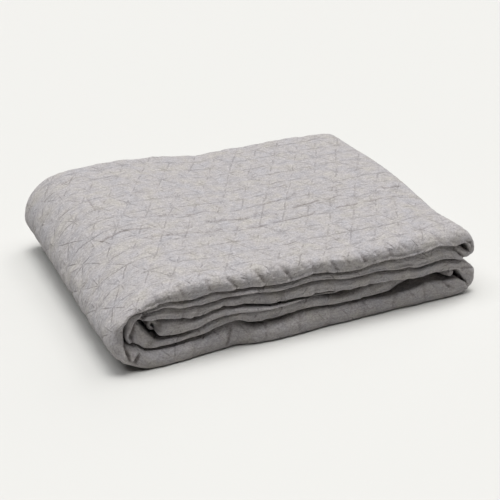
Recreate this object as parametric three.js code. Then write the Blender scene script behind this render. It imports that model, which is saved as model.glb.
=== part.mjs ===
// A quilted bedspread, folded into a flat parcel and lying on its base.
// One long strip of cloth runs through six passes. From its tucked end it turns at the right into the
// top pass, wraps down round the left side into the base pass, turns up at the lower right, runs back
// through two middle passes and stops in the core. Millimetres, +Z up, the long open side faces -Y.
import * as THREE from "three";
import { mergeVertices } from "three/addons/utils/BufferGeometryUtils.js";

// Overall sizes of the folded parcel
const LENGTH = 514;
const DEPTH = 384;

// The gap that parts two passes lying on each other
const LAYER_GAP = 1.6;

// The rounded fold along the front and back edge of each pass, deeper where the pass is thicker
const EDGE_ROUND = 15;
const THIN_EDGE_ROUND = 6;
const ROUND_FOR_HALF_THICKNESS = 1.25;
const EDGE_NARROWEST = 0.16;
const EDGE_STEPS = [
  { along: 0, width: EDGE_NARROWEST },
  { along: 0.07, width: 0.42 },
  { along: 0.25, width: 0.72 },
  { along: 0.58, width: 0.93 },
];

// Quilting: rows of triangles, each puffed up between its stitched sides. It fades out where the two
// loops of the right end lie on each other. The stretches that don't show are plain.
const QUILT_ROWS = 12;
const SECTIONS_IN_A_ROW = 3;
const POINTS_IN_A_PITCH = 4;
const PLAIN_SECTIONS = 6;
const PUFF_HEIGHT = 1.8;
const PUFF_FADE = 14;
const QUILT_ROW = (DEPTH - 2 * EDGE_ROUND) / QUILT_ROWS;
const QUILT_PITCH = (QUILT_ROW * 2) / Math.sqrt(3);
const POINT_STEP = QUILT_PITCH / POINTS_IN_A_PITCH;

// Heights of the top and of the seams between the passes, at stations counted from the left end
const STATIONS = [45, 100, 160, 230, 300, 370, 440, 495];
const HEIGHTS = {
  top: [96, 98, 99.5, 101, 102.5, 104, 104.5, 104],
  underTop: [77, 79, 79.5, 74, 74.5, 76.5, 78, 77],
  underTuck: [72, 66, 67.5, 62, 62.5, 58, 56, 52],
  overCore: [63, 53, 57, 46.5, 48, 43, 42, 39],
  underCore: [37, 32, 44, 39.5, 41, 38.5, 37.5, 35],
  overBase: [23, 22, 33, 25.5, 26.5, 26, 28.5, 23],
  ground: [0, 0, 0, 0, 0, 0, 0, 0],
};

// The passes from the top down: the seams over and under each, and how far its front edge stands back
const PASSES = {
  top: { over: "top", under: "underTop", setBack: 0 },
  tuck: { over: "underTop", under: "underTuck", setBack: 2 },
  upperMiddle: { over: "underTuck", under: "overCore", setBack: 2 },
  core: { over: "overCore", under: "underCore", setBack: 8 },
  lowerMiddle: { over: "underCore", under: "overBase", setBack: 4 },
  base: { over: "overBase", under: "ground", setBack: 0 },
};

// The bends: where each leaves its upper and lower pass, and how far its outer and inner side reach
// past that, at the upper and the lower pass. A negative reach turns towards the left end.
const BENDS = {
  upperRight: {
    upper: "top",
    lower: "tuck",
    outer: { upperX: 478, lowerX: 484, upperReach: 40, lowerReach: 46 },
    inner: { upperX: 484, lowerX: 486, upperReach: 10, lowerReach: 12 },
  },
  leftWrap: {
    upper: "top",
    lower: "base",
    outer: { upperX: 88, lowerX: 60, upperReach: -104, lowerReach: -92 },
    inner: { upperX: 66, lowerX: 62, upperReach: -66, lowerReach: -48 },
  },
  lowerRight: {
    upper: "upperMiddle",
    lower: "base",
    outer: { upperX: 488, lowerX: 488, upperReach: 32, lowerReach: 40 },
    inner: { upperX: 484, lowerX: 484, upperReach: 18, lowerReach: 18 },
  },
  innerLeft: {
    upper: "upperMiddle",
    lower: "lowerMiddle",
    outer: { upperX: 64, lowerX: 66, upperReach: -48, lowerReach: -52 },
    inner: { upperX: 66, lowerX: 68, upperReach: -30, lowerReach: -34 },
  },
  coreRight: {
    upper: "core",
    lower: "lowerMiddle",
    outer: { upperX: 464, lowerX: 462, upperReach: 26, lowerReach: 30 },
    inner: { upperX: 464, lowerX: 464, upperReach: 3, lowerReach: 3 },
  },
};

// The strip's two free ends
const TUCKED_END = { pass: "tuck", fromX: 66, reach: -18 };
const CORE_END = { pass: "core", fromX: 76, reach: -14 };

// The unevenness of the parcel: the right side draws in, the back left corner of the top lies higher
const RIGHT_SIDE = { fromX: 380, toX: 500 };
const RIGHT_SIDE_SHIFT = [
  { depth: 0, shift: 2 },
  { depth: 25, shift: 0 },
  { depth: 80, shift: -10 },
  { depth: 140, shift: -9 },
  { depth: 205, shift: -5 },
  { depth: 265, shift: -3 },
  { depth: 325, shift: -7 },
  { depth: 384, shift: -12 },
];
const BACK_LEFT_RISE = { height: 0.12, fromX: 290, toX: 130, fromDepth: 60, toDepth: 340 };
const BASE_FRONT_DRAW = { back: 6, fromX: 120, toX: 420 };

// How many points each kind of stretch gets
const RUN_POINTS = 8;
const OUTER_BEND_POINTS = 9;
const INNER_BEND_POINTS = 5;
const TIGHT_BEND_POINTS = 3;
const FINE = 60;

// Two sections whose orders differ by less than this are level with each other
const SAME_ORDER = 1e-6;

const smooth = (from, to, value) => {
  const t = THREE.MathUtils.clamp((value - from) / (to - from), 0, 1);
  return t * t * (3 - 2 * t);
};

// A smooth curve through the heights of one row, read at x
const rowCurves = Object.fromEntries(
  Object.entries(HEIGHTS).map(([name, heights]) => [
    name,
    new THREE.SplineCurve(STATIONS.map((x, i) => new THREE.Vector2(x, heights[i]))),
  ]),
);

function heightAt(row, x) {
  const last = STATIONS.length - 1;
  const clamped = THREE.MathUtils.clamp(x, STATIONS[0], STATIONS[last]);
  let i = 0;
  while (i < last - 1 && clamped > STATIONS[i + 1]) i += 1;
  const local = (clamped - STATIONS[i]) / (STATIONS[i + 1] - STATIONS[i]);
  return rowCurves[row].getPoint((i + local) / last).y;
}

// The upper and lower face of a pass at x, half a gap clear of its seams
function faces(pass, x) {
  const { over, under } = PASSES[pass];
  return {
    upper: heightAt(over, x) - (over === "top" ? 0 : LAYER_GAP / 2),
    lower: heightAt(under, x) + (under === "ground" ? 0 : LAYER_GAP / 2),
  };
}

// A point of the section: its place, the middle of the strip behind it, and its pass's set-back
const sectionPoint = (place, middle, setBack) => ({ place, middle, setBack });

// One face of a pass from fromX to toX
function run(pass, face, fromX, toX, points = RUN_POINTS) {
  return Array.from({ length: points }, (_, i) => {
    const x = THREE.MathUtils.lerp(fromX, toX, i / (points - 1));
    const z = faces(pass, x);
    const middle = new THREE.Vector2(x, (z.upper + z.lower) / 2);
    return sectionPoint(new THREE.Vector2(x, z[face]), middle, PASSES[pass].setBack);
  });
}

function bendCurve(bend, side) {
  const { upper, lower } = BENDS[bend];
  const { upperX, lowerX, upperReach, lowerReach } = BENDS[bend][side];
  const outside = side === "outer";
  const upperZ = faces(upper, upperX)[outside ? "upper" : "lower"];
  const lowerZ = faces(lower, lowerX)[outside ? "lower" : "upper"];
  return new THREE.CubicBezierCurve(
    new THREE.Vector2(upperX, upperZ),
    new THREE.Vector2(upperX + upperReach, upperZ),
    new THREE.Vector2(lowerX + lowerReach, lowerZ),
    new THREE.Vector2(lowerX, lowerZ),
  );
}

// One side of a bend, from its upper pass down, or from its lower pass up
function turn(bend, side, direction, points) {
  const { upper, lower } = BENDS[bend];
  const near = bendCurve(bend, side);
  const far = bendCurve(bend, side === "outer" ? "inner" : "outer");
  return Array.from({ length: points }, (_, i) => {
    const t = direction === "down" ? i / (points - 1) : 1 - i / (points - 1);
    const place = near.getPoint(t);
    const middle = place.clone().lerp(far.getPoint(t), 0.5);
    const setBack = THREE.MathUtils.lerp(PASSES[upper].setBack, PASSES[lower].setBack, t);
    return sectionPoint(place, middle, setBack);
  });
}

// The rounded free end of a pass, from one of its faces to the other
function freeEnd({ pass, fromX, reach }, startFace) {
  const z = faces(pass, fromX);
  const middleZ = (z.upper + z.lower) / 2;
  const half = (z.upper - z.lower) / 2;
  const sign = startFace === "upper" ? 1 : -1;
  const middle = new THREE.Vector2(fromX + reach / 2, middleZ);
  return [0.3, 0, -0.3].map((turnBy) => {
    const place = new THREE.Vector2(
      fromX + reach * (1 - Math.abs(turnBy)),
      middleZ + sign * turnBy * 2 * half,
    );
    return sectionPoint(place, middle, PASSES[pass].setBack);
  });
}

// The same stretch with its points at even steps, each near the step asked for
function evenSteps(stretch, step) {
  const lengths = [0];
  for (let i = 1; i < stretch.length; i += 1) {
    lengths.push(lengths[i - 1] + stretch[i].place.distanceTo(stretch[i - 1].place));
  }
  const total = lengths[lengths.length - 1];
  const count = Math.round(total / step);
  const even = [];
  for (let k = 0, i = 0; k <= count; k += 1) {
    const target = (total * k) / count;
    while (i < stretch.length - 2 && lengths[i + 1] < target) i += 1;
    const span = lengths[i + 1] - lengths[i] || 1;
    const t = (target - lengths[i]) / span;
    const [a, b] = [stretch[i], stretch[i + 1]];
    const point = sectionPoint(
      a.place.clone().lerp(b.place, t),
      a.middle.clone().lerp(b.middle, t),
      THREE.MathUtils.lerp(a.setBack, b.setBack, t),
    );
    even.push({ ...point, along: k * step });
  }
  return even;
}

// The outside of the parcel: round the upper right bend, over the top and round the left side
function quiltedOutside() {
  const { upperRight, leftWrap } = BENDS;
  const stretch = [
    ...turn("upperRight", "outer", "up", FINE),
    ...run("top", "upper", upperRight.outer.upperX, leftWrap.outer.upperX, FINE).slice(1),
    ...turn("leftWrap", "outer", "down", FINE).slice(1),
  ];
  return evenSteps(stretch, POINT_STEP);
}

// The outside of the lower right loop, up from the base pass, with its steps counted from its top
function quiltedLowerLoop() {
  return evenSteps(turn("lowerRight", "outer", "down", FINE), POINT_STEP).reverse();
}

// The whole section of the strip, along its outer side and back along its inner side
function stripSection() {
  const b = BENDS;
  const stretches = [
    run("tuck", "lower", TUCKED_END.fromX, b.upperRight.outer.lowerX),
    quiltedOutside(),
    run("base", "lower", b.leftWrap.outer.lowerX, b.lowerRight.outer.lowerX),
    quiltedLowerLoop(),
    run("upperMiddle", "upper", b.lowerRight.outer.upperX, b.innerLeft.outer.upperX),
    turn("innerLeft", "outer", "down", OUTER_BEND_POINTS),
    run("lowerMiddle", "lower", b.innerLeft.outer.lowerX, b.coreRight.outer.lowerX),
    turn("coreRight", "outer", "up", INNER_BEND_POINTS),
    run("core", "upper", b.coreRight.outer.upperX, CORE_END.fromX),
    freeEnd(CORE_END, "upper"),
    run("core", "lower", CORE_END.fromX, b.coreRight.inner.upperX),
    turn("coreRight", "inner", "down", TIGHT_BEND_POINTS),
    run("lowerMiddle", "upper", b.coreRight.inner.lowerX, b.innerLeft.inner.lowerX),
    turn("innerLeft", "inner", "up", INNER_BEND_POINTS),
    run("upperMiddle", "lower", b.innerLeft.inner.upperX, b.lowerRight.inner.upperX),
    turn("lowerRight", "inner", "down", INNER_BEND_POINTS),
    run("base", "upper", b.lowerRight.inner.lowerX, b.leftWrap.inner.lowerX),
    turn("leftWrap", "inner", "up", OUTER_BEND_POINTS),
    run("top", "lower", b.leftWrap.inner.upperX, b.upperRight.inner.upperX),
    turn("upperRight", "inner", "down", TIGHT_BEND_POINTS),
    run("tuck", "upper", b.upperRight.inner.lowerX, TUCKED_END.fromX),
    freeEnd(TUCKED_END, "upper"),
  ];
  const points = stretches.flat();
  return points.filter((p, i) => {
    const before = points[(i + points.length - 1) % points.length];
    return p.place.distanceTo(before.place) > 0.01;
  });
}

// How high the quilting stands, from 0 on a stitched line to 1 in the middle of a triangle
function puffAt(along, row) {
  const slant = along / QUILT_PITCH;
  const toLine = (value) => value - Math.floor(value);
  const a = toLine(row);
  const b = toLine(slant - row / 2);
  const c = toLine(slant + row / 2);
  const nearest = Math.min(a, 1 - a, b, 1 - b, c, 1 - c);
  return Math.min(1, 3 * nearest);
}

// Where the sections cross a point of the strip: their depth, the strip's width there, their quilting
// row, and their order, which runs from 0 to 1 between the rounded edges
function sectionsAt(point, frontDraw) {
  const half = point.place.distanceTo(point.middle);
  const round = THREE.MathUtils.clamp(half * ROUND_FOR_HALF_THICKNESS, THIN_EDGE_ROUND, EDGE_ROUND);
  const front = point.setBack + frontDraw;
  const back = DEPTH - point.setBack;
  const frontEdge = EDGE_STEPS.map(({ along, width }) => {
    return { y: front + along * round, width, row: 0, order: along - 1 };
  });
  const backEdge = EDGE_STEPS.map(({ along, width }) => {
    return { y: back - along * round, width, row: QUILT_ROWS, order: 2 - along };
  });
  const parts = point.along === undefined ? PLAIN_SECTIONS : QUILT_ROWS * SECTIONS_IN_A_ROW;
  const between = Array.from({ length: parts + 1 }, (_, i) => ({
    y: THREE.MathUtils.lerp(front + round, back - round, i / parts),
    width: 1,
    row: (i / parts) * QUILT_ROWS,
    order: i / parts,
  }));
  return [...frontEdge, ...between, ...backEdge.reverse()];
}

function rightSideShift(depth) {
  const rows = RIGHT_SIDE_SHIFT;
  let i = 0;
  while (i < rows.length - 2 && depth > rows[i + 1].depth) i += 1;
  const t = smooth(rows[i].depth, rows[i + 1].depth, depth);
  return THREE.MathUtils.lerp(rows[i].shift, rows[i + 1].shift, t);
}

// The parcel's unevenness, applied to a point of the even one
function uneven(x, y, z) {
  const { fromX, toX } = RIGHT_SIDE;
  const rise = BACK_LEFT_RISE;
  const atLeft = 1 - smooth(rise.toX, rise.fromX, x);
  const atBack = smooth(rise.fromDepth, rise.toDepth, y);
  return new THREE.Vector3(
    x + smooth(fromX, toX, x) * rightSideShift(y),
    y,
    z * (1 + rise.height * atLeft * atBack),
  );
}

// How far the quilting raises a point of the strip in one of its sections
function puffHeight(point, { row, width }) {
  if (point.along === undefined) return 0;
  const fade = smooth(0, PUFF_FADE, point.along) * smooth(6, 22, point.place.y);
  return puffAt(point.along, row) * PUFF_HEIGHT * width * fade;
}

// The points of one place of the section, from the front edge to the back one
function columnAt(section, index) {
  const point = section[index];
  const before = section[(index + section.length - 1) % section.length].place;
  const after = section[(index + 1) % section.length].place;
  const outward = new THREE.Vector2(after.y - before.y, before.x - after.x).normalize();
  const { back, fromX, toX } = BASE_FRONT_DRAW;
  const low = 1 - smooth(0, 40, point.place.y);
  const frontDraw = back * low * smooth(fromX, toX, point.place.x);
  return sectionsAt(point, frontDraw).map((at) => {
    const puff = puffHeight(point, at);
    const place = point.middle.clone().lerp(point.place, at.width).addScaledVector(outward, puff);
    return { at: uneven(place.x, at.y, place.y), order: at.order, puff };
  });
}

// The triangles between two columns, which may have unlike numbers of points. Each step forward is made
// in the column that is behind, and where they are level, along the valley of the quilting.
function joinColumns(near, far, addTriangle) {
  let i = 0;
  let j = 0;
  while (i < near.length - 1 || j < far.length - 1) {
    const nextNear = near[i + 1];
    const nextFar = far[j + 1];
    const level = nextNear && nextFar && Math.abs(nextNear.order - nextFar.order) < SAME_ORDER;
    const valley = level && near[i].puff + nextFar.puff > nextNear.puff + far[j].puff;
    const behind = !nextFar || (nextNear && !level && nextNear.order < nextFar.order);
    if (behind || valley) {
      addTriangle(near[i], nextNear, far[j]);
      i += 1;
    } else {
      addTriangle(near[i], nextFar, far[j]);
      j += 1;
    }
  }
}

function bedspreadGeometry() {
  const section = stripSection();
  const columns = section.map((_, index) => columnAt(section, index));
  const points = columns.flat();
  points.forEach((point, index) => {
    point.index = index;
  });
  const positions = points.flatMap(({ at }) => [at.x - LENGTH / 2, at.y - DEPTH / 2, at.z]);
  const indices = [];
  const addTriangle = (a, b, c) => indices.push(a.index, b.index, c.index);
  columns.forEach((column, i) => joinColumns(column, columns[(i + 1) % columns.length], addTriangle));

  const front = columns.map((column) => column[0]);
  const back = columns.map((column) => column[column.length - 1]);
  const outline = (edge) => edge.map(({ at }) => new THREE.Vector2(at.x, at.z));
  for (const [a, b, c] of THREE.ShapeUtils.triangulateShape(outline(front), [])) {
    addTriangle(front[a], front[b], front[c]);
  }
  for (const [a, b, c] of THREE.ShapeUtils.triangulateShape(outline(back), [])) {
    addTriangle(back[a], back[c], back[b]);
  }
  const geometry = new THREE.BufferGeometry();
  geometry.setAttribute("position", new THREE.Float32BufferAttribute(positions, 3));
  geometry.setIndex(indices);
  return mergeVertices(geometry, 1e-3);
}

// The parcel set on its own frame: origin under the middle of its box, underside at zero
function centred(geometry) {
  geometry.computeBoundingBox();
  const { min, max } = geometry.boundingBox;
  geometry.translate(-(min.x + max.x) / 2, -(min.y + max.y) / 2, -min.z);
  geometry.computeVertexNormals();
  return geometry;
}

const quiltedCloth = new THREE.MeshStandardMaterial({
  color: 0xaaa5a2,
  roughness: 0.95,
  metalness: 0,
});

const group = new THREE.Group();
const bedspread = new THREE.Mesh(centred(bedspreadGeometry()), quiltedCloth);
bedspread.name = "bedspread";
group.add(bedspread);

export default group;
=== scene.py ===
import math

import bpy
import numpy as np
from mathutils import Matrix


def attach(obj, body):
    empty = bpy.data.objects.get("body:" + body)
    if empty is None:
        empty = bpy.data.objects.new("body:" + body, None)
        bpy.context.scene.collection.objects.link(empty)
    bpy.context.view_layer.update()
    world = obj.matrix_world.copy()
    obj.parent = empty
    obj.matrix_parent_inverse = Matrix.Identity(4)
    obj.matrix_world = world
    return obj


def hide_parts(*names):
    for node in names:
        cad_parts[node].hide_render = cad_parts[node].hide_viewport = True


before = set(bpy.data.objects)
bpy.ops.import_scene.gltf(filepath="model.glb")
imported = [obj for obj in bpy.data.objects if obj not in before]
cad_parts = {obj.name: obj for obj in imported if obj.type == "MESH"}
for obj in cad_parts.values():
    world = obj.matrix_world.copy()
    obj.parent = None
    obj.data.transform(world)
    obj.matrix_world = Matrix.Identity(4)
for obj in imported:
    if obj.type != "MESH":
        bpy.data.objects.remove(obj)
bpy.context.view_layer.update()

MM = 0.001

# The parcel's depth, and the middle of its box from its left end
DEPTH = 384.0
MIDDLE_X = 256.9

# The gap between two passes at each seam
GAPS = {
    "top": 0,
    "top_tuck": 1.7,
    "tuck_upper": 2.4,
    "upper_core": 2.8,
    "core_lower": 2.9,
    "lower_base": 2.5,
    "floor": 0,
}

# Heights of the seams between the passes along the front, as rows of x and z. A seam is named after the
# pass over it and the pass under it, and "top" and "floor" are the parcel's own top and underside
SEAMS = {
    "top": [
        (60, 101), (80, 104), (105, 106), (140, 106.5), (175, 104.5), (230, 103.5), (300, 103.5),
        (370, 105), (440, 105), (500, 103),
    ],
    "top_tuck": [
        (48, 80.5), (60, 83), (72, 86.3), (90, 82.8), (104, 81.1), (121, 82.9), (134, 85.1), (154, 82.1),
        (174, 80.9), (198, 79.3), (220, 77.7), (242, 77.8), (260, 81.1), (277, 80.2), (296, 77.7),
        (315, 75), (333, 74.7), (350, 78.2), (370, 79.4), (398, 78.3), (411, 78.8), (431, 80.3),
        (449, 83.2), (463, 80.6), (474, 77.8), (500, 75.2),
    ],
    "tuck_upper": [
        (48, 74.8), (60, 75.4), (76, 77.4), (95, 71.8), (106, 71), (122, 70.2), (144, 71.9), (165, 72.9),
        (182, 72.6), (209, 67.5), (232, 66.5), (255, 69.5), (278, 69.3), (298, 66.9), (322, 64.2),
        (340, 62.6), (358, 65.2), (377, 62), (400, 60.7), (429, 56.7), (444, 57.8), (460, 59.7),
        (474, 57.4), (490, 53.9), (500, 53.5),
    ],
    "upper_core": [
        (43, 64), (56, 61.9), (73, 60.5), (95, 56.1), (114, 52.8), (124, 54.7), (137, 59), (155, 60.5),
        (173, 58.1), (199, 51.4), (222, 48.9), (244, 50.2), (262, 49.8), (276, 51.8), (286, 50.9),
        (311, 45.7), (329, 44.2), (353, 46.2), (371, 46.3), (401, 44), (424, 41.2), (448, 42.8),
        (466, 42), (481, 40.2), (500, 36.5),
    ],
    "core_lower": [
        (63, 35.2), (72, 34), (82, 33.6), (96, 34), (114, 37), (129, 43), (143, 45.4), (155, 47.2),
        (169, 47.6), (199, 45.2), (216, 44.6), (233, 46), (249, 46.8), (267, 47), (284, 45.6),
        (303, 41.8), (318, 40.1), (332, 40.7), (353, 43.1), (371, 42.9), (401, 41.8), (430, 39.1),
        (448, 40.6), (460, 38.4), (481, 36.3), (500, 34.4),
    ],
    "lower_base": [
        (50, 22), (63, 23), (78, 22.8), (93, 23.8), (107, 24.6), (123, 24.8), (138, 30.2), (152, 33.4),
        (164, 34.8), (175, 32.2), (186, 27.6), (203, 26.6), (221, 26.2), (237, 28.4), (255, 30.7),
        (272, 30), (291, 27), (316, 25.4), (335, 24.2), (352, 25.2), (372, 24), (387, 24), (400, 26.5),
        (422, 28.4), (432, 30.8), (441, 32.4), (454, 31), (465, 29), (474, 28.6), (500, 25),
    ],
    "floor": [(0, 0), (500, 0)],
}

# The passes: the seams over and under each, the face that is outside in the fold, where the outer and the
# inner side start and end in x, the round of the upper and the lower edge, how far the lip along the lower
# edge stands out, and how far the front stands back, as rows of x and y
PASSES = {
    "top": dict(
        over="top", under="top_tuck",
        outer_face="upper", outer_x=(474, 96), inner_x=(474, 90),
        rounds=(18, 6), lip=1.5,
        front=[(0, 0), (130, 1), (420, 0), (514, 2)],
    ),
    "tuck": dict(
        over="top_tuck", under="tuck_upper",
        outer_face="lower", outer_x=(48, 484), inner_x=(48, 477),
        rounds=(8, 5.5), lip=1.5,
        front=[(40, 4), (80, 3.5), (420, 3.5), (500, 5)],
    ),
    "upper": dict(
        over="tuck_upper", under="upper_core",
        outer_face="upper", outer_x=(487, 76), inner_x=(476, 74),
        rounds=(8, 6), lip=1.3,
        front=[(40, 5), (120, 5), (430, 5), (500, 6)],
    ),
    "core": dict(
        over="upper_core", under="core_lower",
        outer_face="upper", outer_x=(464, 86), inner_x=(464, 84),
        rounds=(8, 6), lip=0.8,
        front=[(60, 8), (285, 9), (325, 20), (500, 38)],
    ),
    "lower": dict(
        over="core_lower", under="lower_base",
        outer_face="lower", outer_x=(73, 462), inner_x=(74, 464),
        rounds=(8, 7), lip=1.0,
        front=[(40, 7), (110, 8), (290, 9), (350, 12), (385, 17), (430, 30), (500, 38)],
    ),
    "base": dict(
        over="lower_base", under="floor",
        outer_face="lower", outer_x=(70, 480), inner_x=(62, 474),
        rounds=(14, 6.5), lip=0.0,
        front=[
            (0, 0.5), (60, 0), (85, 1), (120, 4.5), (145, 7), (165, 8.5), (180, 4.5), (300, 5),
            (420, 7.5), (500, 8.5),
        ],
    ),
}

# The bends: pairs of points across the strip, outer x and z, inner x and z, and the front's set-back
UPPER_RIGHT = [
    (484, 56.5, 477, 75, 4), (490, 55.2, 484, 74, 5.5), (495.5, 55.4, 490, 70.6, 7),
    (502, 58.2, 495.5, 66, 8), (507, 62, 499.2, 65.4, 8), (508.6, 69, 499.2, 70, 7),
    (508, 77, 496.6, 74.4, 6.5), (505, 84.5, 493.5, 77.6, 6), (499, 92, 490, 79.2, 5),
    (491, 98, 486, 79.2, 3.5), (483, 102, 481, 78, 2), (474, 104, 474, 76.4, 1),
]
LEFT_WRAP = [
    (96, 105.3, 90, 83.2, 0.7), (80, 103.5, 76, 86, 0.5), (64, 100.5, 62, 83.8, 0.5),
    (48, 95, 48, 80.8, 0.5), (34, 87.5, 38, 79.8, 0.5), (22, 79, 30.4, 78, 0.5), (12, 70, 26, 71, 0.5),
    (5, 60.5, 23.4, 64, 0.5), (1.4, 50.5, 22.4, 56, 0.5), (1.4, 40, 22.2, 48, 0.5),
    (5.6, 30.5, 23, 42, 0.5), (12.6, 20.5, 25.2, 37.4, 0.5), (20.6, 13, 28.6, 34.4, 1.5),
    (29, 7.6, 34.6, 33.2, 1.5), (38.5, 3.6, 39.4, 31, 1.5), (48, 1.2, 43.6, 26.6, 1),
    (58, 0, 49, 22.2, 0.7), (70, 0, 62, 20.4, 0.5),
]
LOWER_RIGHT = [
    (480, 0, 474, 27.4, 7), (490, 0.8, 482, 27.4, 7.5), (499, 3, 488.6, 25.6, 8),
    (506.5, 7.5, 494, 21.6, 8.5), (511.5, 13.5, 497.4, 17.6, 9), (514, 21, 499, 17, 9),
    (514.2, 29, 498, 21, 9), (512, 36.5, 495, 27, 8.5), (506, 43, 491.4, 32.4, 8),
    (498.4, 47.6, 487.6, 36.6, 7), (492, 50.8, 482.6, 39.6, 6), (487, 52.6, 476, 41, 5),
]
INNER_LEFT = [
    (76, 72.7, 74, 58.6, 4), (64, 72.6, 66, 60, 4), (56, 72.6, 58, 61.2, 4), (48, 74, 50, 62.8, 5),
    (38, 76, 44, 64.6, 6.5), (31, 75.4, 42, 64.6, 7), (27, 66, 41.3, 64, 7), (25, 56, 41.6, 62.4, 7),
    (24.8, 46.6, 43, 59.4, 7), (27, 39.4, 45, 56, 7), (31, 35.8, 47, 53.4, 7), (36.5, 34.6, 50, 49.6, 7),
    (42, 31, 53, 45.8, 7), (46, 26, 56.5, 41.2, 7), (51, 23, 60, 37.2, 7), (60, 21.8, 65, 34.4, 6.5),
    (73, 21, 74, 34.4, 6),
]
CORE_RIGHT = [
    (462, 28.6, 464, 38.2, 10), (474, 28.6, 472, 38, 12), (482, 31, 474, 38.1, 13),
    (484, 35.5, 474.3, 38.4, 14), (480, 39.2, 474, 38.7, 15), (472, 40, 472, 38.8, 16),
    (464, 40.2, 464, 39, 16),
]
ROLLED_END = [
    (86, 54.6, 84, 34.4, 7), (78, 56.4, 74, 36.2, 7), (73, 56.6, 67.5, 38.2, 8),
    (70.4, 55.4, 65.2, 41, 11), (68.8, 54.8, 64.8, 47.8, 16), (65.5, 56, 63.8, 50.4, 19),
    (61, 56, 61.4, 50.6, 21), (57.4, 53.4, 61, 49.6, 21), (56.4, 49, 61, 48.2, 21),
    (58, 44.2, 62, 47, 21), (62, 41.8, 64, 46, 21), (65, 42.4, 65.4, 45.4, 21),
]

# Creases along the front, from one x and z to another, with depth and half width
FRONT_CREASES = [
    # Beside the hollow at the left end, and the dart under it
    (46, 71.5, 39.6, 66.2, 3, 2.0), (39.6, 66.2, 35.2, 56, 4, 2.2), (35.2, 56, 31, 45.8, 4, 2.2),
    (31, 45.8, 33.3, 36.1, 3, 2), (48.5, 74, 43, 65, 7, 1.7), (22.5, 38, 24.5, 28, 5, 2),
    (24.5, 28, 27.2, 18, 5, 2.2), (37, 21.5, 33.5, 15, 6, 2.4),
    # The top pass
    (61.4, 95, 64.9, 88.8, 1.4, 2.4), (91.7, 102.9, 96.4, 92.5, 1.8, 2.2),
    (125.9, 103.5, 130.8, 91, 2.1, 2.4), (155.5, 99.5, 163.5, 88.5, 2.6, 2.2),
    (174, 101, 179, 93, 1.4, 2.2), (192, 99.8, 200.5, 88, 2.8, 2.3), (211, 100, 215, 91, 1.3, 2.2),
    (222.7, 104, 230.9, 91.5, 2.0, 2.4), (232.3, 92.6, 237, 85, 2.1, 2.2),
    (250, 101, 256, 93, 1.3, 2.2), (264.8, 99, 269.2, 88.5, 2.0, 2.2), (292.5, 94, 300, 83, 2.3, 2.2),
    (311, 98, 316, 88, 1.5, 2.2), (331.4, 101.4, 339.6, 87, 3.4, 2.3), (352, 101, 358, 91, 1.5, 2.2),
    (370, 100, 376.4, 88.6, 2.2, 2.2), (388.3, 104, 397.8, 93.5, 2.3, 2.4),
    (416, 101, 421, 92, 1.5, 2.2), (439.6, 103, 448.1, 92, 2.3, 2.4),
    # The loops at the right end
    (493, 80.6, 499.5, 77.6, 2.4, 1.7), (499.5, 77.6, 502, 70, 2.4, 1.7),
    (475, 74, 483.6, 65, 3.0, 1.9), (483.6, 65, 491, 57.5, 3.0, 1.9), (490, 42, 507, 38, 1.6, 1.8),
    (498, 20, 503, 12, 1.6, 1.8), (495, 33, 510, 26, 1.0, 1.8),
    # The base pass
    (112, 20, 108, 6, 1.3, 2.4), (160.6, 27, 155.5, 8, 2.8, 2.2), (206, 24, 203, 6, 1.5, 2.2),
    (252, 27, 250, 8, 1.6, 2.4), (298, 24, 295, 7, 1.3, 2.2), (346, 25, 344, 7, 1.6, 2.4),
    (392, 25, 388, 8, 1.5, 2.4), (434, 28, 436, 8, 1.9, 2.4), (464, 26, 472, 18, 2.2, 2.2),
    (472, 18, 480, 14, 1.8, 2.2),
    # The passes between
    (98, 66, 96, 56, 1.9, 2.4), (118, 66, 112, 54, 1.7, 2.6), (150, 66, 148, 58, 1.3, 2.4),
    (228, 62, 224, 50, 1.5, 2.4), (276, 64, 272, 52, 1.3, 2.4), (352, 58, 350, 46, 1.5, 2.4),
]

# How much painted shade a crease along the front gets for its depth, as a share of one over the top
FRONT_CREASE_SHADE = 0.4

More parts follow.
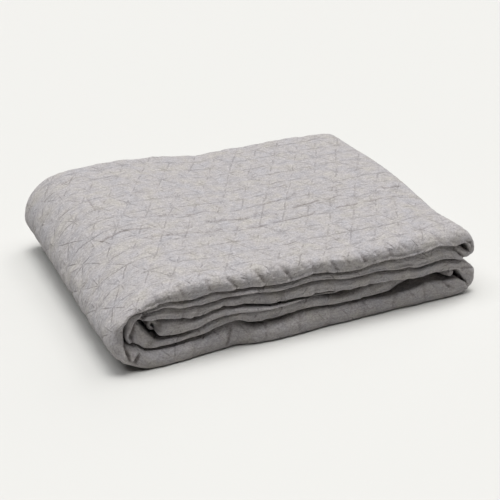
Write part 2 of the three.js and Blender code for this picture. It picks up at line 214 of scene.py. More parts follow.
# Creases over the top, from one x and y to another, with depth and half width
TOP_CREASES = [
    (49, 163, 82, 168, 1.3, 2.0), (82, 168, 112, 160, 1.2, 2.0), (96, 136, 128, 132, 0.9, 1.8),
    (128, 132, 196, 122, 1.0, 2.0), (112, 190, 160, 182, 0.9, 1.8), (172, 181, 200, 180, 1.0, 2.0),
    (188, 150, 212, 148, 1.3, 2.0), (216, 147, 244, 145, 1.2, 2.0), (230, 115, 256, 116, 1.3, 2.0),
    (268, 118, 296, 118, 1.1, 2.0), (306, 119, 326, 121, 1.1, 2.0), (276, 179, 302, 180, 1.2, 2.0),
    (314, 181, 332, 185, 0.9, 1.8), (314, 151, 350, 154, 1.4, 2.0), (362, 155, 384, 155, 1.4, 2.0),
    (364, 124, 392, 123, 1.5, 2.0), (404, 124, 430, 124, 1.3, 2.0), (440, 125, 462, 123, 1.0, 2.0),
    (376, 184, 402, 188, 1.0, 1.8), (452, 154, 480, 155, 1.3, 2.0), (308, 220, 334, 221, 0.9, 1.8),
    (200, 226, 222, 224, 0.6, 1.8), (120, 268, 146, 260, 0.8, 1.8), (65, 240, 66, 276, 0.8, 1.8),
    (438, 226, 452, 227, 0.9, 1.8), (262, 246, 282, 244, 0.7, 1.8), (388, 252, 404, 252, 0.7, 1.8),
    (254, 56, 274, 54, 0.8, 1.8), (304, 42, 326, 46, 0.8, 1.8), (426, 28, 444, 28, 0.8, 1.8),
    (248, 22, 268, 24, 0.7, 1.8), (180, 86, 200, 86, 0.6, 1.8), (48, 340, 90, 346, 0.8, 2.0),
    (124, 74, 156, 68, 0.6, 1.8), (208, 212, 222, 186, 0.8, 1.8), (284, 206, 296, 186, 0.8, 1.8),
    (262, 160, 250, 140, 0.7, 1.8), (272, 158, 282, 138, 0.7, 1.8), (350, 146, 362, 130, 0.9, 1.8),
    (392, 182, 384, 164, 0.7, 1.8), (440, 166, 454, 154, 0.8, 1.8), (280, 108, 290, 84, 0.6, 1.8),
]

# The parcel's unevenness: the right side in plan, as rows of y and shift, and how much higher the back
# lies than the front, as rows of x and share
RIGHT_SIDE = [
    (0, 0), (25, -2), (55, -6), (80, -7.5), (140, -2.5), (205, 2), (265, 4), (325, 0), (384, -3),
]
BACK_RISE = [
    (0, 0.16), (34, 0.15), (48, 0.122), (64, 0.09), (80, 0.066), (96, 0.052), (119, 0.053), (160, 0.066),
    (200, 0.06), (235, 0.01), (270, -0.034), (300, -0.022), (342, -0.011), (417, -0.01), (467, 0.004),
    (514, 0),
]

# The top's front edge, as rows of x: how far back it is rounded, how far up its face is upright, and how
# much lower it lies than the middle
TOP_ROUND = [
    (90, 15), (112, 12), (140, 11.5), (175, 11), (220, 12), (260, 10.5), (300, 10.5), (345, 12),
    (395, 15), (474, 18),
]
TOP_FACE = [
    (80, 0.4), (95, 0.45), (113, 0.52), (149, 0.4), (191, 0.42), (241, 0.4), (284, 0.55), (348, 0.42),
    (395, 0.28), (420, 0.22), (474, 0.22),
]
TOP_FRONT_DIP = [
    (90, 0), (175, 1), (220, 0), (260, 1), (300, 4), (333, 6), (370, 4.5), (410, 4), (450, 3), (480, 0),
]

# How far back the base's upper edge is rounded, as rows of x
BASE_ROUND = [(60, 12), (330, 11), (390, 8), (430, 5.5), (480, 5.5)]

# Quilting: a lattice of even triangles with stars at its points, stitched through all plies. These are the
# triangle's side, the height of a row, and where the lattice starts along the cloth and across it
QUILT_SIDE = 34.5
QUILT_ROW = QUILT_SIDE * math.sqrt(3) / 2
QUILT_START_U = 12.0
QUILT_START_V = 4.0

# The quilting's relief: how high the triangles puff up and how far from their sides, how deep and how wide
# the stitched sides and the spokes of the stars are, and the mean height
PUFF_HEIGHT = 1.15
PUFF_REACH = 6.5
SIDE_DEPTH = 0.95
SIDE_HALF = 2.0
SPOKE_DEPTH = 0.6
SPOKE_HALF = 1.9
RELIEF_MEAN = 0.4

# The lip along a front edge: its distance from the edge and its half width, then the same of the hollow
# beside it, and the hollow's depth as a share of the lip's height
LIP_AT = 2.6
LIP_HALF = 1.5
HOLLOW_AT = 6.3
HOLLOW_HALF = 2.2
HOLLOW_SHARE = 0.5

# The rounded edges: the power of their curve, where 1 is a round one and less is a squarer one, the range
# of rounds over which that power rises to 1, and the range over which TOP_FACE comes to count
SQUARENESS = 0.8
ROUND_FROM = (8, 10)
FACE_FROM = (9, 10.5)

# The back edge: its round as a share of the front's, the largest round that counts, and its set-back as a
# share of the front's
BACK_ROUND = 0.7
BACK_ROUND_MOST = 18
BACK_SET = 0.5

# How far the passes halfway up bow up, and the height from which none do
BOW = 7.0
BOWED_BELOW = 100.0

# The round of the strip's two free ends, and how much rounder the left wrap is halfway
END_ROUND = 3.0
WRAP_ROUNDER = 8

# The mesh: the spacing of its points where the cloth shows and where only its edges do, the rings in the
# front and the back edge, and about how much of the depth these two take
FINE_STEP = 2.6
NOSE_STEP = 3.2
NOSE_RINGS = 12
BACK_RINGS = 7
EDGES_DEPTH = 30

# A hidden side keeps one ring of this many, and none of the last few before the back edge
HIDDEN_EVERY = 30
HIDDEN_END = 8

# The columns of the strip's rows: the outer and the inner side's x and z, the front's set-back, all these
# as one, the round of the outer and the inner edge, the lip on the outer and the inner side, and 1 where
# the outer side shows
OUTER = slice(0, 2)
INNER = slice(2, 4)
SET_BACK = 4
PLACED = slice(0, 5)
OUTER_ROUND = 5
INNER_ROUND = 6
OUTER_LIP = 7
INNER_LIP = 8
SHOWS = 9


def smooth(low, high, value):
    """0 up to one value and 1 from another, with a soft step between them, or the other way round."""
    t = np.clip((value - low) / (high - low), 0, 1)
    return t * t * (3 - 2 * t)


def through(rows, at):
    """A smooth curve through rows of (at, value), read at a place or an array of them."""
    xs, zs = np.array(rows, float).T
    at = np.clip(at, xs[0], xs[-1])
    i = np.clip(np.searchsorted(xs, at) - 1, 0, len(xs) - 2)
    span = xs[i + 1] - xs[i]
    t = (at - xs[i]) / span
    slope = np.gradient(zs, xs)
    return (
        (2 * t**3 - 3 * t**2 + 1) * zs[i]
        + (t**3 - 2 * t**2 + t) * span * slope[i]
        + (3 * t**2 - 2 * t**3) * zs[i + 1]
        + (t**3 - t**2) * span * slope[i + 1]
    )


def noise(u, v, cell, seed):
    """Smooth noise from -1 to 1 over two coordinates, with cells of a given size."""
    size = 96
    grid = np.random.default_rng(seed).uniform(-1, 1, (size, size))
    a, b = np.asarray(u, float) / cell, np.asarray(v, float) / cell
    i, j = np.floor(a).astype(int), np.floor(b).astype(int)
    s, t = a - i, b - j
    s, t = s**3 * (s * (6 * s - 15) + 10), t**3 * (t * (6 * t - 15) + 10)

    def side(q):
        near, far = grid[i % size, (j + q) % size], grid[(i + 1) % size, (j + q) % size]
        return near * (1 - s) + far * s

    return side(0) * (1 - t) + side(1) * t


def seam(name, x):
    """The height of a seam, as finely uneven as puckered cloth."""
    seed = list(SEAMS).index(name)
    wave = 0.6 * noise(x, 9.0 * seed, cell=15, seed=60 + seed)
    wave += 0.5 * noise(x, 5.0 * seed, cell=7, seed=70 + seed)
    inside = smooth(50, 80, x) * smooth(480, 450, x)
    return through(SEAMS[name], x) + wave * inside * (name != "floor")


def edges(name):
    """The round of a pass's outer and inner edge, and the lip on its outer and inner side."""
    part = PASSES[name]
    up, down = part["rounds"]
    return (up, down, 0, part["lip"]) if part["outer_face"] == "upper" else (down, up, part["lip"], 0)


def run(name, shows=False, step=NOSE_STEP):
    """A pass, as rows of the strip from its start to its end."""
    part = PASSES[name]
    start, end = part["outer_x"]
    count = max(2, round(abs(end - start) / step)) + 1
    outer = np.linspace(start, end, count)
    inner = np.linspace(*part["inner_x"], count)
    outer_is_upper = part["outer_face"] == "upper"
    upper_x, lower_x = (outer, inner) if outer_is_upper else (inner, outer)
    upper_z = seam(part["over"], upper_x) - GAPS[part["over"]] / 2
    lower_z = seam(part["under"], lower_x) + GAPS[part["under"]] / 2
    z_outer, z_inner = (upper_z, lower_z) if outer_is_upper else (lower_z, upper_z)
    front = through(part["front"], (outer + inner) / 2)
    even = np.tile((*edges(name), float(shows)), (count, 1))

    # The rounds of the top's and the base's upper edge differ along them
    if name == "top":
        even[:, 0] = through(TOP_ROUND, outer)
    if name == "base":
        even[:, 1] = through(BASE_ROUND, inner)
    return np.concatenate([np.stack([outer, z_outer, inner, z_inner, front], 1), even], 1)


def bend(rows, start, end, step, shows=False, rounder=0):
    """A bend through its pairs of points, with the edges of the passes that it joins, rounder halfway."""
    rows = np.array(rows, float)
    outer_reach = np.hypot(*np.diff(rows[:, OUTER], axis=0).T)
    inner_reach = np.hypot(*np.diff(rows[:, INNER], axis=0).T)
    reach = np.maximum(outer_reach, inner_reach)
    at = np.concatenate([[0], np.cumsum(reach)])
    places = np.linspace(0, at[-1], max(4, round(at[-1] / step)) + 1)
    body = np.stack([through(np.stack([at, column], 1), places) for column in rows.T], 1)
    share = smooth(0, 1, places / at[-1])[:, None]
    blended = np.array(start, float) * (1 - share) + np.array(end, float) * share
    blended[:, :1] += 4 * rounder * share * (1 - share)
    return np.concatenate([body, blended, np.full((len(places), 1), float(shows))], 1)


def joined(before, turn, after):
    """A bend with its two ends moved onto the passes that it joins."""
    share = np.linspace(0, 1, len(turn))[:, None]
    turn = turn.copy()
    turn[:, PLACED] += (before[-1, PLACED] - turn[0, PLACED]) * smooth(0.35, 0, share)
    if after is not None:
        turn[:, PLACED] += (after[0, PLACED] - turn[-1, PLACED]) * smooth(0.65, 1, share)
    return turn


def strip():
    """The whole strip, as rows, from its tucked end through each bend and pass to its rolled one."""
    tuck, top, base = edges("tuck"), edges("top"), edges("base")
    upper, lower, core = edges("upper"), edges("lower"), edges("core")
    top_left = (TOP_ROUND[0][1], *top[1:])
    base_right = (base[0], BASE_ROUND[-1][1], 0, 0)
    rolled = (END_ROUND, END_ROUND, 0, 0)
    parts = [
        run("tuck"),
        bend(UPPER_RIGHT, start=tuck, end=top, step=2.2, shows=True),
        run("top", shows=True, step=FINE_STEP),
        bend(LEFT_WRAP, start=top_left, end=base, step=2.4, shows=True, rounder=WRAP_ROUNDER),
        run("base"),
        bend(LOWER_RIGHT, start=base_right, end=upper, step=2.2, shows=True),
        run("upper"),
        bend(INNER_LEFT, start=upper, end=lower, step=1.9),
        run("lower"),
        bend(CORE_RIGHT, start=lower, end=core, step=2.4),
        run("core"),
        bend(ROLLED_END, start=core, end=rolled, step=1.8),
    ]
    rows = [parts[0]]
    for i, part in enumerate(parts[1:], 1):
        after = parts[i + 1] if i + 1 < len(parts) else None
        is_bend = i % 2 == 1
        rows.append((joined(parts[i - 1], part, after) if is_bend else part)[1:])
    return np.concatenate(rows)


def rounded_ends(rows):
    """Narrows the strip to a rounded edge at both of its free ends."""
    outer, inner = rows[:, OUTER].copy(), rows[:, INNER].copy()
    middle = (outer + inner) / 2
    far = np.concatenate([[0], np.cumsum(np.hypot(*np.diff(middle, axis=0).T))])
    ahead = np.minimum(far, far[-1] - far)
    width = np.sqrt(np.clip(1 - (1 - np.clip(ahead / END_ROUND, 0, 1)) ** 2, 0.05, 1))[:, None]
    rows[:, OUTER] = middle + (outer - middle) * width
    rows[:, INNER] = middle + (inner - middle) * width
    return rows, far


def crease_depth(creases, a, b, ragged):
    """How deep the creases lie at each point, with a low ridge of cloth beside each."""
    depth = np.zeros_like(a)
    for a0, b0, a1, b1, deep, half in creases:
        da, db = a1 - a0, b1 - b0
        length = math.hypot(da, db)
        t = ((a - a0) * da + (b - b0) * db) / length**2
        t_in = np.clip(t, 0, 1)
        side = ((a - a0) * db - (b - b0) * da) / length + ragged
        past = (t - t_in) * length
        fade = np.exp(-((past / (1.6 * half)) ** 2))
        trough = np.exp(-((side / half) ** 2))
        ridge = np.exp(-(((side - 2.2 * half) / (1.5 * half)) ** 2))
        depth = depth + deep * fade * (trough - 0.35 * ridge)
    return depth


def lattice(u, v):
    """Places in the quilting's uneven lattice, in sides along the cloth and rows across it."""
    du = u + 2.2 * noise(u, v, cell=60, seed=11) + 0.8 * noise(u, v, cell=17, seed=12) - QUILT_START_U
    dv = v + 2.2 * noise(u, v, cell=60, seed=13) + 0.8 * noise(u, v, cell=17, seed=14) - QUILT_START_V
    return du / QUILT_SIDE, dv / QUILT_ROW


def quilting(u, v):
    """Distance to the nearest stitched side and to the nearest spoke of the stars."""
    slant, row = lattice(u, v)
    parts = np.stack([row, slant - row / 2, -slant - row / 2])
    parts = parts - np.floor(parts)
    parts = np.where(parts.sum(0) > 1.5, 1 - parts, parts)
    low, middle, _ = np.sort(parts, axis=0)
    return low * QUILT_ROW, (middle - low) * QUILT_ROW / math.sqrt(3)


def relief(u, v):
    """The height of the quilted face over its mean: puffed triangles, stitched lines and small puckers."""
    side, spoke = quilting(u, v)
    uneven_side = 0.65 + 0.5 * noise(u, v, cell=38, seed=21)
    uneven_spoke = 0.5 + 0.6 * noise(u, v, cell=30, seed=22)
    puff = PUFF_HEIGHT * (1 - np.exp(-((side / PUFF_REACH) ** 2)))
    line = -SIDE_DEPTH * uneven_side * np.exp(-((side / SIDE_HALF) ** 2))
    star = -SPOKE_DEPTH * np.clip(uneven_spoke, 0, 1) * np.exp(-((spoke / SPOKE_HALF) ** 2))
    near = np.exp(-((np.minimum(side, spoke * 1.4) / 6.0) ** 2))
    pucker = 0.3 * noise(u, v * 1.6, cell=7.0, seed=23) + 0.16 * noise(u, v, cell=3.6, seed=24)
    crumple = 0.30 * noise(u * 0.55, v * 1.5, cell=9.0, seed=25)
    crumple += 0.5 * noise(u, v, cell=26, seed=26)
    crumple += 0.14 * noise(u * 0.6, v * 1.6, cell=4.2, seed=27)
    past_edge = smooth(8, 24, np.abs(v))
    return (puff + line + star - RELIEF_MEAN) * past_edge + near * pucker + crumple


rows, along = rounded_ends(strip())
row_count = len(rows)
outer_xz, inner_xz = rows[:, OUTER], rows[:, INNER]
outer_over = outer_xz[:, 1] > inner_xz[:, 1]

# The line along the edge where the two sides meet: halfway between them, or higher or lower on the top
# pass, and evened out over nine rows
top_share = through(TOP_FACE, outer_xz[:, 0]) - 0.5
apex_share = 0.5 + top_share * smooth(*FACE_FROM, rows[:, OUTER_ROUND]) * outer_over
apex_share = np.convolve(np.pad(apex_share, 4, mode="edge"), np.ones(9) / 9, "valid")
apex_xz = inner_xz + (outer_xz - inner_xz) * apex_share[:, None]

# The rings run from the front edge to the back one, with a width and a depth for each side of the strip
middle_rings = round((DEPTH - EDGES_DEPTH) / FINE_STEP)
ring_count = NOSE_RINGS + middle_rings + BACK_RINGS + 1


def edge_profile(rings, squareness):
    """The share of the strip's width and of its round at each ring of a rounded edge."""
    angle = np.linspace(0, math.pi / 2, rings + 1)[None]
    return np.sin(angle) ** squareness, 1 - np.clip(np.cos(angle), 0, 1) ** squareness


def side_rings(edge_round, front):
    """The width and the y of each ring of one side, for every row of the strip."""
    squareness = SQUARENESS + (1 - SQUARENESS) * smooth(*ROUND_FROM, edge_round)
    front_width, front_ahead = edge_profile(NOSE_RINGS, squareness[:, None])
    back_width, back_ahead = edge_profile(BACK_RINGS, squareness[:, None])
    width = np.concatenate([front_width, np.ones((row_count, middle_rings - 1)), back_width[:, ::-1]], 1)
    near = front[:, None] + edge_round[:, None] * front_ahead
    back = DEPTH - front * BACK_SET
    back_round = BACK_ROUND * np.minimum(edge_round, BACK_ROUND_MOST)
    far = back[:, None] - back_round[:, None] * back_ahead[:, ::-1]
    t = np.linspace(0, 1, middle_rings + 1)[None, 1:-1]
    between = near[:, -1:] * (1 - t) + far[:, :1] * t
    return width, np.concatenate([near, between, far], 1)


def lip(side_xz, width, height):
    """How far the lip along a front edge stands out, with a hollow beside it, for each ring."""
    half = np.linalg.norm(side_xz - apex_xz, axis=1)[:, None]
    inwards = (1 - width) * half
    at_front = np.arange(ring_count)[None] <= NOSE_RINGS
    crest = np.exp(-(((inwards - LIP_AT) / LIP_HALF) ** 2))
    hollow = np.exp(-(((inwards - HOLLOW_AT) / HOLLOW_HALF) ** 2))
    uneven = 0.8 + 0.6 * noise(along, along * 0, cell=22, seed=81)[:, None]
    return height[:, None] * uneven * (crest - HOLLOW_SHARE * hollow) * at_front


# The front edge wanders a little along the strip, and more round the left end
wander = 0.7 * noise(along, along * 0, cell=34, seed=31) + 0.35 * noise(along, along * 0, cell=12, seed=32)
crinkle = 1.4 * noise(along, along * 0, cell=10, seed=33) * smooth(70, 40, rows[:, 0])
front_edge = rows[:, SET_BACK] + wander + crinkle
outer_width, outer_y = side_rings(rows[:, OUTER_ROUND], front_edge)
inner_width, inner_y = side_rings(rows[:, INNER_ROUND], front_edge)


def place(side_xz, width, side_y):
    """The points of one side of the strip, by row and ring."""
    xz = apex_xz[:, None] + (side_xz - apex_xz)[:, None] * width[..., None]
    return np.stack([xz[..., 0], side_y, xz[..., 1]], -1)


outer_places = place(outer_xz, outer_width, outer_y)
inner_places = place(inner_xz, inner_width, inner_y)

# The top dips towards its front edge
dip = through(TOP_FRONT_DIP, outer_xz[:, 0]) * smooth(70, 85, outer_xz[:, 1]) * outer_over
outer_places[..., 2] -= dip[:, None] * outer_width * smooth(85, 15, outer_y)

# Each row's points go round it: back along the outer side and forward along the inner one
points = np.concatenate([outer_places, inner_places[:, -2:0:-1]], 1)
round_count = 2 * ring_count - 2

# The parcel's unevenness in plan and height
y_all, x_all = points[..., 1], points[..., 0]
points[..., 0] += through(RIGHT_SIDE, y_all) * smooth(380, 500, x_all)
points[..., 2] *= 1 + through(BACK_RISE, x_all) * smooth(60, 340, y_all)
settle = 0.9 * noise(x_all, y_all, cell=95, seed=41) + 0.5 * noise(x_all, y_all, cell=48, seed=42)
points[..., 2] += settle * smooth(20, 100, points[..., 2]) * smooth(10, 60, y_all)

# The inner passes bow up a little at half depth, as stacked cloth does, so the seams aren't straight slots
level = np.clip(points[..., 2] / BOWED_BELOW, 0, 1)
inside = smooth(40, 90, x_all) * smooth(495, 455, x_all) * smooth(20, 190, y_all)
inside *= smooth(DEPTH - 20, DEPTH - 190, y_all)
points[..., 2] += 4 * BOW * level * (1 - level) * inside

# Places across the cloth: the way round each row from the front edge, forwards on the outer side and
# backwards on the inner one
steps = np.linalg.norm(np.diff(points, axis=1), axis=2)
forward = np.concatenate([np.zeros((row_count, 1)), np.cumsum(steps, 1)], 1)
closing = np.linalg.norm(points[:, 0] - points[:, -1], axis=1)
total = forward[:, -1] + closing
across = forward.copy()
inner_half = np.arange(round_count) > ring_count - 1 + ring_count // 2
across[:, inner_half] = forward[:, inner_half] - total[:, None]
along_all = np.repeat(along[:, None], round_count, 1)

# The directions out of the surface
d_along = np.gradient(points, axis=0)
d_across = np.roll(points, -1, axis=1) - np.roll(points, 1, axis=1)
normals = np.cross(d_across, d_along)
normals /= np.maximum(np.linalg.norm(normals, axis=2, keepdims=True), 1e-9)
outward = np.einsum("ijk,ijk->ij", normals[:, :ring_count], outer_places - inner_places)
if np.median(outward) < 0:
    normals = -normals

# The relief fades out on the floor and on hidden faces, and is weaker near the back, at the upper right
# and where the strip is thin
x_now, y_now, z_now = points[..., 0], points[..., 1], points[..., 2]
off_floor = smooth(2.5, 16, z_now)
on_nose = smooth(30, 8, y_now)
at_back = smooth(DEPTH - 30, DEPTH - 8, y_now)
shown = np.repeat(rows[:, SHOWS, None], round_count, 1)
shown[:, ring_count:] = 0
calm = 1 - 0.6 * np.maximum(smooth(310, 365, y_now), smooth(460, 495, x_now) * smooth(60, 90, z_now))
strength = np.maximum(shown, 0.75 * np.maximum(on_nose, at_back)) * off_floor * calm
thin = np.clip(np.linalg.norm(outer_xz - inner_xz, axis=1) / 12, 0.25, 1)[:, None]
lift = relief(along_all, across) * strength * thin
lift[:, :ring_count] += lip(outer_xz, outer_width, rows[:, OUTER_LIP])
lift[:, ring_count:] += lip(inner_xz, inner_width, rows[:, INNER_LIP])[:, -2:0:-1]

# The relief is raised and the creases are pressed in, a little raggedly
ragged = 0.5 * noise(along_all, across, cell=9, seed=51)
ragged += 0.25 * noise(along_all, across, cell=4, seed=52)
facing_front = np.clip(-normals[..., 1], 0, 1) ** 0.5 * smooth(34, 12, y_now)
facing_up = np.clip(normals[..., 2], 0, 1) * shown
front_pressed = crease_depth(FRONT_CREASES, x_now, z_now, ragged) * facing_front
top_pressed = crease_depth(TOP_CREASES, x_now, y_now, ragged) * facing_up
lift -= front_pressed + top_pressed
# The creases' depths, the front ones at a share, also go to the material as painted shade
pressed = top_pressed + FRONT_CREASE_SHADE * front_pressed
points = points + normals * lift[..., None]
points[..., 2] = np.maximum(points[..., 2], 0)

# Faces. Sides that show keep all their rings, and hidden ones keep the rings of the edges and a few between
fine = list(range(ring_count))
coarse = list(range(NOSE_RINGS + 1))
back_start = NOSE_RINGS + middle_rings
coarse += list(range(NOSE_RINGS + HIDDEN_EVERY, back_start - HIDDEN_END, HIDDEN_EVERY))
coarse += list(range(back_start, ring_count))
shows = rows[:, SHOWS] > 0.5
outer_fine = np.convolve(shows, np.ones(5), "same") > 0
lattice_slant, lattice_row = lattice(along_all, across)
vertex_of = {}
faces = []
face_uv = []
face_lattice = []
face_crease_painted_shade = []


def corner(i, ring, outer):
    """A vertex, made once, with its place on the cloth, its place in the lattice and the depth of painted
    shade in its creases.
    """
    q = ring if outer else (round_count - ring) % round_count
    key = i * round_count + q
    if key not in vertex_of:
        vertex_of[key] = len(vertex_of)
    cloth_place = (along[i] * MM, across[i, q] * MM)
    return vertex_of[key], cloth_place, (lattice_slant[i, q], lattice_row[i, q]), (pressed[i, q], 0)


def add_face(ring):
    """A face through these corners, each vertex once."""
    corners = list({c[0]: c for c in ring}.values())
    faces.append([c[0] for c in corners])
    face_uv.extend(c[1] for c in corners)
    face_lattice.extend(c[2] for c in corners)
    face_crease_painted_shade.extend(c[3] for c in corners)


def rings_between(a, b, is_fine):
    """The rings from one to another, with those between them where the row keeps them all."""
    return range(a, b + 1) if is_fine else (a, b)


for i in range(row_count - 1):
    for outer in (True, False):
        near_fine = outer and outer_fine[i]
        far_fine = outer and outer_fine[i + 1]
        rings = fine if near_fine and far_fine else coarse
        for a, b in zip(rings[:-1], rings[1:]):
            near = [corner(i, r, outer) for r in rings_between(a, b, near_fine and rings is coarse)]
            far = [corner(i + 1, r, outer) for r in rings_between(a, b, far_fine and rings is coarse)]
            ring = near[::-1] + far if outer else near + far[::-1]
            add_face(ring)

# The strip's two free ends are closed
for i, first in ((0, True), (row_count - 1, False)):
    for a, b in zip(coarse[:-1], coarse[1:]):
        ring = [corner(i, a, True), corner(i, b, True), corner(i, b, False), corner(i, a, False)]
        if not first:
            ring = ring[::-1]
        add_face(ring)

# The mesh, in metres from the frame's origin
vertices = points.reshape(-1, 3)[list(vertex_of)]
vertices = (vertices - np.array([MIDDLE_X, DEPTH / 2, 0])) * MM
mesh = bpy.data.meshes.new("folded_bedspread")
mesh.from_pydata(vertices.tolist(), [], faces)
for name, values in (("cloth", face_uv), ("quilting", face_lattice), ("creases", face_crease_painted_shade)):
    layer = mesh.uv_layers.new(name=name)
    layer.data.foreach_set("uv", np.array(values, float).ravel())
mesh.polygons.foreach_set("use_smooth", [True] * len(mesh.polygons))
mesh.update()
bedspread = bpy.data.objects.new("folded_bedspread", mesh)
bpy.context.scene.collection.objects.link(bedspread)


def new_material(name):
    """A material with its nodes, their links and its shader."""
    material = bpy.data.materials.new(name)
    material.use_nodes = True
    nodes = material.node_tree.nodes
    return material, nodes, material.node_tree.links, nodes["Principled BSDF"]


def node(kind, **values):
    """A node of the cloth's material."""
    made = nodes.new(kind)
    for key, value in values.items():
        setattr(made, key, value)
    return made


# The cloth: washed and heathered, with faint stitched lines, and painted shade in its stitched grooves and
# creases
cloth, nodes, links, shader = new_material("washed_heather_cloth")
shader.inputs["Roughness"].default_value = 0.94
shader.inputs["Specular IOR Level"].default_value = 0.2
shader.inputs["Sheen Weight"].default_value = 0.12
shader.inputs["Sheen Roughness"].default_value = 0.6
coordinates = node("ShaderNodeUVMap", uv_map="cloth")
lattice_place = node("ShaderNodeUVMap", uv_map="quilting")


def scaled(x, y):
    """Places on the cloth, in metres along it and across it, scaled."""
    made = node("ShaderNodeMapping")
    made.inputs["Scale"].default_value = (x, y, 1)
    links.new(coordinates.outputs["UV"], made.inputs["Vector"])
    return made.outputs["Vector"]


def fuzz(vector, scale, detail, rough=0.5):
    """Soft noise from 0 to 1, as fine as its scale."""
    made = node("ShaderNodeTexNoise")
    made.inputs["Scale"].default_value = scale
    made.inputs["Detail"].default_value = detail
    made.inputs["Roughness"].default_value = rough
    links.new(vector, made.inputs["Vector"])
    return made.outputs["Fac"]


def ramp(value, stops):
    """A colour for each value, through stops of position and colour."""
    made = node("ShaderNodeValToRGB")
    elements = made.color_ramp.elements
    elements[0].position, elements[0].color = stops[0][0], (*stops[0][1], 1)
    elements[1].position, elements[1].color = stops[-1][0], (*stops[-1][1], 1)
    for position, color in stops[1:-1]:
        elements.new(position).color = (*color, 1)
    links.new(value, made.inputs["Fac"])
    return made.outputs["Color"]


def multiplied(a, b):
    """Two colours multiplied."""
    made = node("ShaderNodeMix", data_type="RGBA", blend_type="MULTIPLY")
    made.inputs["Factor"].default_value = 1.0
    links.new(a, made.inputs[6])
    links.new(b, made.inputs[7])
    return made.outputs[2]


def work(kind, *values):
    """One step of arithmetic on numbers or on other nodes' values."""
    made = node("ShaderNodeMath", operation=kind)
    for socket, value in zip(made.inputs, values):
        if isinstance(value, (int, float)):
            socket.default_value = value
        else:
            links.new(value, socket)
    return made.outputs[0]


def near_line(distance, half):
    """1 on a line and 0 from its half width away, in millimetres."""
    made = node("ShaderNodeMapRange", interpolation_type="SMOOTHSTEP")
    links.new(distance, made.inputs["Value"])
    made.inputs["From Min"].default_value = 0.0
    made.inputs["From Max"].default_value = half
    made.inputs["To Min"].default_value = 1.0
    made.inputs["To Max"].default_value = 0.0
    return made.outputs["Result"]


# Distances in millimetres to the quilting's sides and to the spokes of its stars, from the three parts of a
# place in its triangle, which add up to one
split = node("ShaderNodeSeparateXYZ")
links.new(lattice_place.outputs["UV"], split.inputs[0])
slant_at, row_at = split.outputs["X"], split.outputs["Y"]
half_row = work("MULTIPLY", row_at, 0.5)
part_a = work("FRACT", row_at)
part_b = work("FRACT", work("SUBTRACT", slant_at, half_row))
part_c = work("FRACT", work("SUBTRACT", work("MULTIPLY", slant_at, -1.0), half_row))
flip = work("GREATER_THAN", work("ADD", work("ADD", part_a, part_b), part_c), 1.5)
part_a = work("ABSOLUTE", work("SUBTRACT", flip, part_a))
part_b = work("ABSOLUTE", work("SUBTRACT", flip, part_b))
part_c = work("ABSOLUTE", work("SUBTRACT", flip, part_c))
lowest = work("MINIMUM", work("MINIMUM", part_a, part_b), part_c)
highest = work("MAXIMUM", work("MAXIMUM", part_a, part_b), part_c)
middle_part = work("SUBTRACT", work("SUBTRACT", 1.0, lowest), highest)
to_row = work("MULTIPLY", work("MINIMUM", part_a, work("SUBTRACT", 1.0, part_a)), QUILT_ROW)
to_side = work("MULTIPLY", lowest, QUILT_ROW)
to_spoke = work("MULTIPLY", work("SUBTRACT", middle_part, lowest), QUILT_ROW / math.sqrt(3))


def broken(cell, low, high):
    """1 where a stitched line shows and 0 where it has washed out, in patches of a given size."""
    made = node("ShaderNodeMapRange", interpolation_type="SMOOTHSTEP")
    links.new(fuzz(scaled(1, 1), scale=1 / cell, detail=1), made.inputs["Value"])
    made.inputs["From Min"].default_value = low
    made.inputs["From Max"].default_value = high
    return made.outputs["Result"]


# The stitched lines: the rows, which stop short of the front edge, the triangles' sides and the spokes,
# sunk in by the bump and darkened with painted shade in their grooves. These are their half widths in
# millimetres, how strongly the last two show beside the rows in depth and painted shade, how far the rows
# stop short, and how far from a row the sides show there
ROW_LINE, SIDE_LINE, SPOKE_LINE = 1.7, 1.6, 1.4
SIDE_SHADE, SPOKE_SHADE = 0.85, 0.5
ROWS_STOP = 24.0
OFF_ROW = 3.0
cloth_split = node("ShaderNodeSeparateXYZ")
links.new(coordinates.outputs["UV"], cloth_split.inputs[0])
from_edge = work("MULTIPLY", work("ABSOLUTE", cloth_split.outputs["Y"]), 1000.0)
past_edge = work("SUBTRACT", 1.0, near_line(from_edge, ROWS_STOP))
row_line = work("MULTIPLY", near_line(to_row, ROW_LINE), broken(0.019, low=0.45, high=0.60))
row_line = work("MULTIPLY", row_line, past_edge)
side_line = work("MULTIPLY", near_line(to_side, SIDE_LINE), broken(0.018, low=0.40, high=0.60))
side_line = work("MULTIPLY", side_line, work("MAXIMUM", past_edge, work("GREATER_THAN", to_row, OFF_ROW)))
side_line = work("MULTIPLY", side_line, SIDE_SHADE)
spoke_line = work("MULTIPLY", near_line(to_spoke, SPOKE_LINE), broken(0.017, low=0.50, high=0.66))
spoke_line = work("MULTIPLY", spoke_line, SPOKE_SHADE)
stitched = work("MAXIMUM", row_line, work("MAXIMUM", side_line, spoke_line))

# Painted shade in the creases, darker the deeper they are pressed
crease_split = node("ShaderNodeSeparateXYZ")
links.new(node("ShaderNodeUVMap", uv_map="creases").outputs["UV"], crease_split.inputs[0])
crease_painted_shade = ramp(crease_split.outputs["X"], [(0.1, (1, 1, 1)), (1.0, (0.66, 0.64, 0.63))])
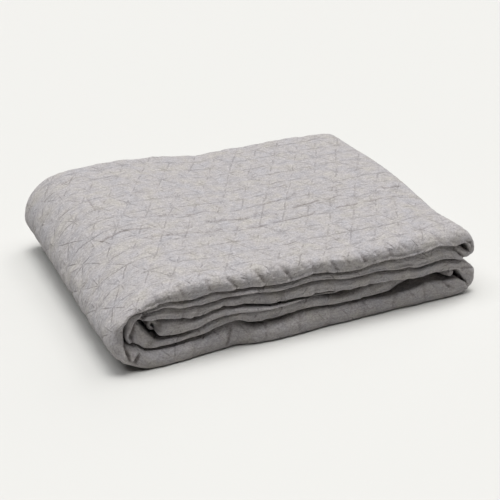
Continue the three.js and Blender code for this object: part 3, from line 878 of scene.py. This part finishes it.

# The colour: broad patches of tint, heathered threads, longer slubs, and painted shade in the stitched
# lines and the creases
tint = ramp(
    fuzz(scaled(1, 1), scale=34, detail=3, rough=0.65),
    [(0.34, (0.359, 0.345, 0.356)), (0.5, (0.375, 0.354, 0.354)), (0.66, (0.388, 0.365, 0.346))],
)
heather = ramp(
    fuzz(scaled(0.85, 1.0), scale=470, detail=3, rough=0.8),
    [(0.30, (0.68, 0.675, 0.675)), (0.5, (1.0, 1.0, 1.0)), (0.70, (1.30, 1.30, 1.30))],
)
slub = ramp(
    fuzz(scaled(0.4, 1.0), scale=240, detail=2, rough=0.6),
    [(0.34, (0.87, 0.865, 0.86)), (0.5, (1.0, 1.0, 1.0)), (0.66, (1.10, 1.10, 1.10))],
)
# Painted shade along the stitched grooves, darkest where a line is strongest
stitch_groove_painted_shade = ramp(stitched, [(0.0, (1, 1, 1)), (1.0, (0.82, 0.81, 0.805))])
color = tint
for shade in (heather, slub, stitch_groove_painted_shade, crease_painted_shade):
    color = multiplied(color, shade)
links.new(color, shader.inputs["Base Color"])

# The fine relief: ripples, grain and the stitched lines sunk in, as heights in millimetres
ripple = fuzz(scaled(0.8, 1.0), scale=150, detail=2, rough=0.6)
grain = fuzz(scaled(0.8, 1.0), scale=480, detail=2, rough=0.7)
height = work("ADD", work("MULTIPLY", ripple, 1.8), work("MULTIPLY", grain, 0.9))
height = work("SUBTRACT", height, work("MULTIPLY", stitched, 1.3))
bump = node("ShaderNodeBump")
bump.inputs["Strength"].default_value = 0.9
bump.inputs["Distance"].default_value = MM
links.new(height, bump.inputs["Height"])
links.new(bump.outputs["Normal"], shader.inputs["Normal"])
mesh.materials.append(cloth)

# The floor: pale and matt
floor_paint, _, _, floor_shader = new_material("pale_floor")
floor_shader.inputs["Base Color"].default_value = (0.585, 0.579, 0.559, 1)
floor_shader.inputs["Roughness"].default_value = 0.9
floor_shader.inputs["Specular IOR Level"].default_value = 0.0

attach(bedspread, "root")
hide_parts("bedspread")

floor_mesh = bpy.data.meshes.new("floor")
floor_mesh.from_pydata([(-12, -12, 0), (12, -12, 0), (12, 12, 0), (-12, 12, 0)], [], [(0, 1, 2, 3)])
floor_mesh.materials.append(floor_paint)
floor = bpy.data.objects.new("floor", floor_mesh)
bpy.context.scene.collection.objects.link(floor)

# Light: broad lights from above and from either side, a lower one from the right and a faint even sky.
# Each has the direction it comes from, its strength, its spread in degrees and its colour
LIGHTS = [
    ("overhead_light", (0.0, 0.0, 1.0), 1.56, 26, (1.0, 0.995, 0.988)),
    ("left_light", (-0.342, 0.0, 0.94), 1.80, 42, (0.97, 0.985, 1.0)),
    ("right_light", (0.309, 0.0, 0.951), 1.30, 42, (1.0, 1.0, 0.995)),
    ("low_right_light", (0.72, 0.38, 0.574), 0.65, 50, (1.0, 1.0, 1.0)),
]
SKY = 0.005


def sun(name, towards, strength, spread, color):
    """A light from a direction, as wide as its spread."""
    data = bpy.data.lights.new(name, "SUN")
    data.energy = strength
    data.angle = math.radians(spread)
    data.color = color
    made = bpy.data.objects.new(name, data)
    d = np.array(towards, float) / np.linalg.norm(towards)
    tilt = math.acos(d[2])
    turn_z = math.atan2(d[1], d[0]) + math.pi / 2
    made.rotation_euler = (tilt, 0, turn_z)
    bpy.context.scene.collection.objects.link(made)


for light in LIGHTS:
    sun(*light)
world = bpy.data.worlds.new("sky")
world.use_nodes = True
world.node_tree.nodes["Background"].inputs["Color"].default_value = (0.98, 0.99, 1.0, 1)
world.node_tree.nodes["Background"].inputs["Strength"].default_value = SKY
bpy.context.scene.world = world
bpy.context.scene.view_settings.view_transform = "Standard"

# The camera, at the photograph's view: its angles, its distance and its shift in metres, and the point
# that it turns round
AZIMUTH, ELEVATION = math.radians(-24.0), math.radians(26.6)
DISTANCE, RIGHTWARD, UPWARD = 1.7012, 0.0111, -0.0152
PIVOT = np.array([(254 - MIDDLE_X) * MM, (190 - DEPTH / 2) * MM, 0.05])
back = np.array([
    math.sin(AZIMUTH) * math.cos(ELEVATION),
    -math.cos(AZIMUTH) * math.cos(ELEVATION),
    math.sin(ELEVATION),
])
right = np.cross(-back, [0, 0, 1])
right /= np.linalg.norm(right)
up = np.cross(right, -back)
camera_data = bpy.data.cameras.new("camera")
camera_data.lens = 90
camera_data.sensor_width = 36
camera_data.clip_end = 60
camera = bpy.data.objects.new("camera", camera_data)
camera.location = PIVOT + RIGHTWARD * right + UPWARD * up + DISTANCE * back
camera.rotation_euler = (math.pi / 2 - ELEVATION, 0, AZIMUTH)
bpy.context.scene.collection.objects.link(camera)
bpy.context.scene.camera = camera
